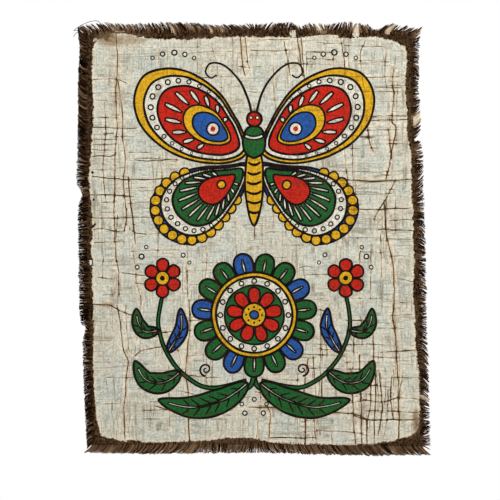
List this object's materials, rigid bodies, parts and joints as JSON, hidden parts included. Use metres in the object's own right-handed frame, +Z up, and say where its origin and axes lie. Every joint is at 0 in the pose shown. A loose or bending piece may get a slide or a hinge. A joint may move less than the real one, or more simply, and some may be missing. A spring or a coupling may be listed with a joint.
{
  "type": "batik wall hanging",
  "caption": "Face-on cotton wax-resist wall hanging with a dark dyed border, fine crackle lines, a painted butterfly and blossom design and a short frayed fringe on all sides.",
  "frame": {"origin": "middle of the cloth's top edge, at the roots of the top threads, where the hanging is held", "axes": "+Z up along the height of the cloth, +X to the right of a viewer who faces the dyed side, -Y out of the dyed side towards the viewer"},
  "size_m": [0.4579, 0.0097, 0.5633],
  "materials": {
    "batik_cotton": "matt hand-woven cotton, pale grey-cream ground with brown crackle and a dark brown border",
    "frayed_threads": "matt loose cotton threads, dyed dark brown with paler tips"
  },
  "bodies": {
    "root": {"cloth": "batik_cotton", "fringe_top": "frayed_threads", "fringe_right": "frayed_threads", "fringe_bottom": "frayed_threads", "fringe_left": "frayed_threads"}
  },
  "joints": []
}
